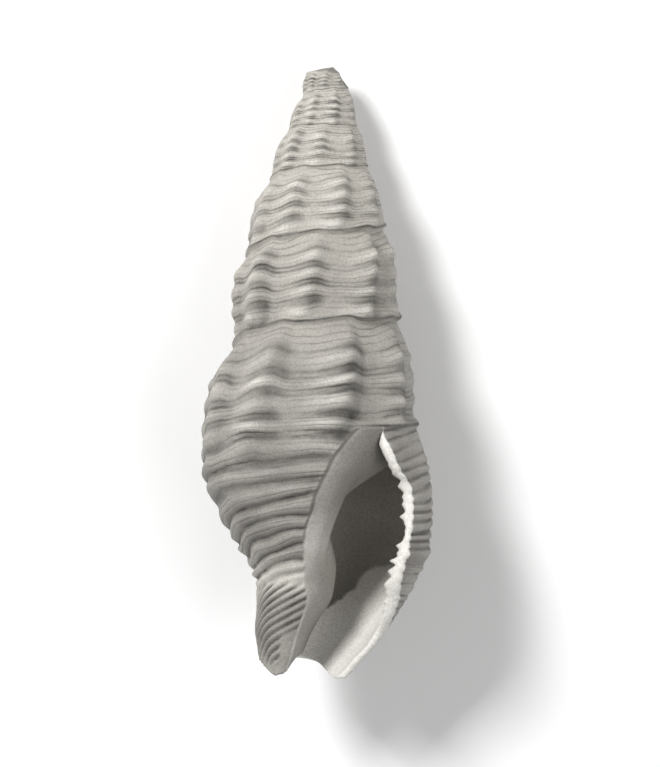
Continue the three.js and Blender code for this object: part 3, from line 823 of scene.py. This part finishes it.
# The lines are shallow grooves, and the stone has a fine grain
between_lines = add_node("ShaderNodeMath", [(1, lines)], [(0, 1)], operation="SUBTRACT").outputs[0]
cord_bump = add_node("ShaderNodeBump", [("Height", between_lines)],
                     [("Strength", 0.9), ("Distance", 0.18 * MM)])
roughened = add_node("ShaderNodeTexNoise", [("Vector", in_mm)],
                     [("Scale", 4), ("Detail", 5), ("Roughness", 0.65)]).outputs[0]
grain_bump = add_node("ShaderNodeBump", [("Height", roughened), ("Normal", cord_bump.outputs[0])],
                      [("Strength", 0.5), ("Distance", 0.06 * MM)])
shader = add_node("ShaderNodeBsdfPrincipled",
                  [("Base Color", colour), ("Normal", grain_bump.outputs[0])],
                  [("Roughness", 0.72), ("IOR", 1.5)])
add_node("ShaderNodeOutputMaterial", [("Surface", shader.outputs[0])])
shell_mesh.materials.append(stone)

# The table
# A plain, pale, matt board that the shell lies on. It isn't part of the shell.
TABLE_SIZE = 1.2
table_mesh = bpy.data.meshes.new("table_top")
table_bm = bmesh.new()
bmesh.ops.create_grid(table_bm, x_segments=1, y_segments=1, size=TABLE_SIZE / 2)
table_bm.to_mesh(table_mesh)
table_bm.free()
table = bpy.data.objects.new("table", table_mesh)
bpy.context.scene.collection.objects.link(table)
board = bpy.data.materials.new("matt_white_board")
board.use_nodes = True
board.node_tree.nodes["Principled BSDF"].inputs["Base Color"].default_value = linear("#FFFFFF")
board.node_tree.nodes["Principled BSDF"].inputs["Roughness"].default_value = 0.9
table_mesh.materials.append(board)


# The light
# A soft lamp from the upper left and a weak one from the right, with the pale room round them.
def add_lamp(name, place, size, watts):
    data = bpy.data.lights.new(name, "AREA")
    data.size = size
    data.energy = watts
    lamp = bpy.data.objects.new(name, data)
    lamp.location = place
    lamp.rotation_mode = "QUATERNION"
    lamp.rotation_quaternion = Vector(place).to_track_quat("Z", "Y")
    bpy.context.scene.collection.objects.link(lamp)


add_lamp("key_lamp", (-0.3, 0.3, 0.44), 0.16, 3.4)
add_lamp("fill_lamp", (0.32, -0.06, 0.42), 0.4, 0.85)
ROOM_STRENGTH = 0.28
room = bpy.data.worlds.new("pale_room")
room.use_nodes = True
room.node_tree.nodes["Background"].inputs["Color"].default_value = linear("#FFFFFF")
room.node_tree.nodes["Background"].inputs["Strength"].default_value = ROOM_STRENGTH
bpy.context.scene.world = room
bpy.context.scene.view_settings.view_transform = "Standard"

# The camera
# It looks down on the shell from far off, tipped a little towards the tip, as in the photo.
MM_PER_PIXEL = 0.06465
PHOTO_HEIGHT = 767
CAMERA_DISTANCE = 0.5               # metres
TIP_TOWARDS = 5.5                   # degrees towards the shell's tip
ROLL = 2.2                          # degrees that the shell leans to the right in the photo
PHOTO_CENTRE = (1.02, 19.0)         # millimetres right of the coiling axis and up it
looked_at = lay_down @ Vector((*PHOTO_CENTRE, 0)) * MM
camera_data = bpy.data.cameras.new("camera")
camera_data.sensor_width = 36
camera_data.lens = camera_data.sensor_width * CAMERA_DISTANCE / (PHOTO_HEIGHT * MM_PER_PIXEL * MM)
camera_data.clip_start = 0.05
camera_data.clip_end = 5
camera = bpy.data.objects.new("camera", camera_data)
turned = Matrix.Rotation(math.radians(-TIP_TOWARDS), 4, "X") @ Matrix.Rotation(math.radians(ROLL), 4, "Z")
camera.matrix_world = Matrix.Translation(looked_at) @ turned @ Matrix.Translation((0, 0, CAMERA_DISTANCE))
bpy.context.scene.collection.objects.link(camera)
bpy.context.scene.camera = camera
